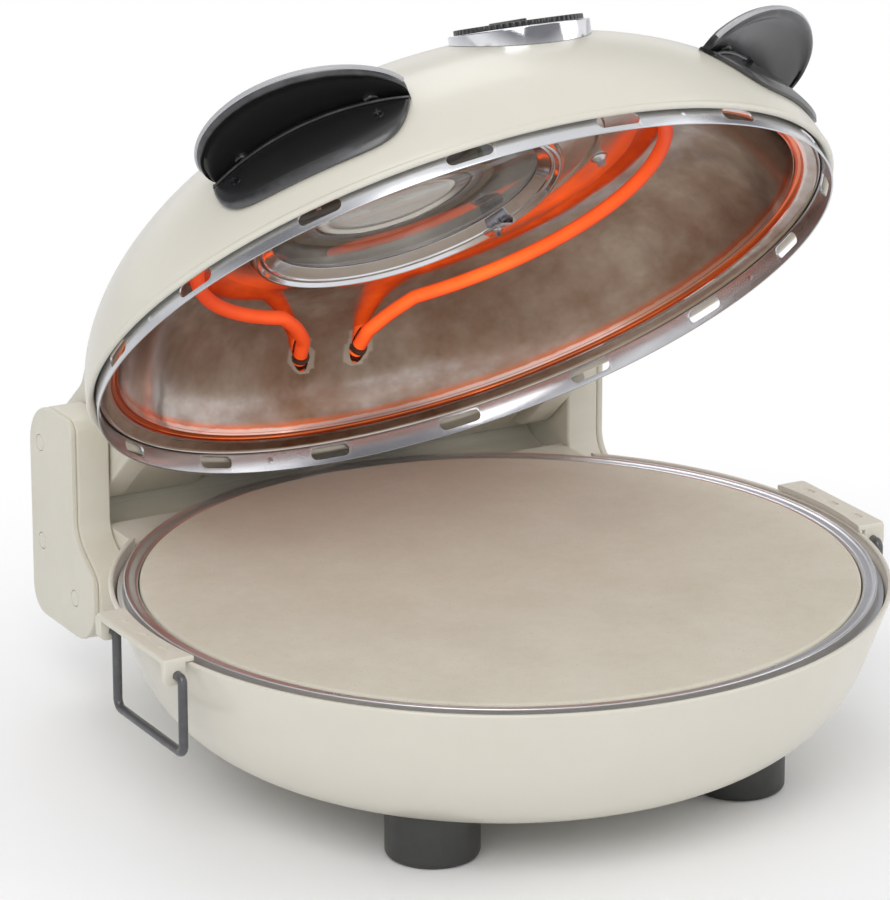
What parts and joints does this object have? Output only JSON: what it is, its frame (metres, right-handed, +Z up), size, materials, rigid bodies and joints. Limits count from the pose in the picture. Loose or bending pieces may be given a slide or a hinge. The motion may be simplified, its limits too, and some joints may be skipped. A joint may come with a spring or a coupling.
{
  "type": "electric pizza maker",
  "caption": "Countertop electric pizza maker: round steel bowl with a baking stone, and a hinged domed lid with a glowing heating element, inspection window, control knob and two handles.",
  "frame": {"origin": "on the floor under the middle of the object's outline, with the lid half open as shown", "axes": "+Z up; -Y is the front, where the lid opens; +Y is the back, with the hinge; +X is the right side seen from the front"},
  "size_m": [0.3528, 0.3602, 0.339],
  "materials": {
    "cream": "satin powder coat",
    "cream_part": "satin moulded",
    "bail_plate": "satin powder coat",
    "rim": "polished sheet steel",
    "reflector": "spun and polished",
    "pan": "pressed sheet",
    "stone": "unglazed, fine grained",
    "element": "sheathed tube, glowing",
    "steel": "plain",
    "trim": "polished",
    "glass": "clear, toughened",
    "ceramic": "glazed white",
    "wool": "mineral wool",
    "black": "fine grained phenolic",
    "wire": "dark enamelled wire"
  },
  "bodies": {
    "base": {"bowl": "cream", "heat_pan": "pan", "rim_ring": "rim", "lower_element": "element", "lower_clips": "steel", "lower_terminals": "ceramic", "foot_front_left": "black", "foot_front_right": "black", "foot_rear_left": "black", "foot_rear_right": "black", "foot_screws": "steel", "rear_housing": "cream_part", "housing_floor": "cream_part", "cord_bushing": "black", "terminal_block": "ceramic", "safety_thermostat": "steel", "bracket_left": "cream_part", "bracket_right": "cream_part", "bracket_cover_left": "cream_part", "bracket_cover_right": "cream_part", "cover_plugs_left": "cream_part", "cover_plugs_right": "cream_part", "hinge_pin_left": "steel", "hinge_pin_right": "steel", "bail_plate_left": "bail_plate", "bail_plate_right": "bail_plate"},
    "stone": {"baking_stone": "stone"},
    "lid": {"dome": "cream", "hinge_arm_left": "cream_part", "hinge_arm_right": "cream_part", "hinge_apron": "cream_part", "collar": "rim", "collar_rivets": "steel", "reflector": "reflector", "upper_element": "element", "upper_terminals": "ceramic", "reflector_screws": "steel", "insulation": "wool", "window_ring": "trim", "inner_glass": "glass", "window_clips": "steel", "window_tube": "steel", "outer_ring": "trim", "outer_glass": "glass", "knob_bezel": "trim", "lid_thermostat": "steel", "handle_left": "black", "handle_right": "black", "handle_screws_left": "steel", "handle_screws_right": "steel"},
    "knob": {"knob_dial": "black"},
    "bail_a": {"bail_left": "wire"},
    "bail_b": {"bail_right": "wire"}
  },
  "joints": [
    {"name": "lid_hinge", "type": "hinge", "parent": "base", "child": "lid", "pos_m": [0, 0.15076, 0.105], "axis": [-1, 0, 0], "range_deg": [-40.5, 49.5]},
    {"name": "stone_tip", "type": "hinge", "parent": "base", "child": "stone", "pos_m": [0, 0.14236, 0.0866], "axis": [-1, 0, 0], "range_deg": [0, 25]},
    {"name": "knob_turn", "type": "hinge", "parent": "lid", "child": "knob", "pos_m": [0, -0.02666, 0.32688], "axis": [0, 0.284, 0.9588], "range_deg": [-270, 0]},
    {"name": "bail_swing_left", "type": "hinge", "parent": "base", "child": "bail_a", "pos_m": [-0.1704, -0.01824, 0.082], "axis": [0, 1, 0], "range_deg": [-2, 60]},
    {"name": "bail_swing_right", "type": "hinge", "parent": "base", "child": "bail_b", "pos_m": [0.1704, -0.01824, 0.082], "axis": [0, -1, 0], "range_deg": [-2, 60]}
  ]
}
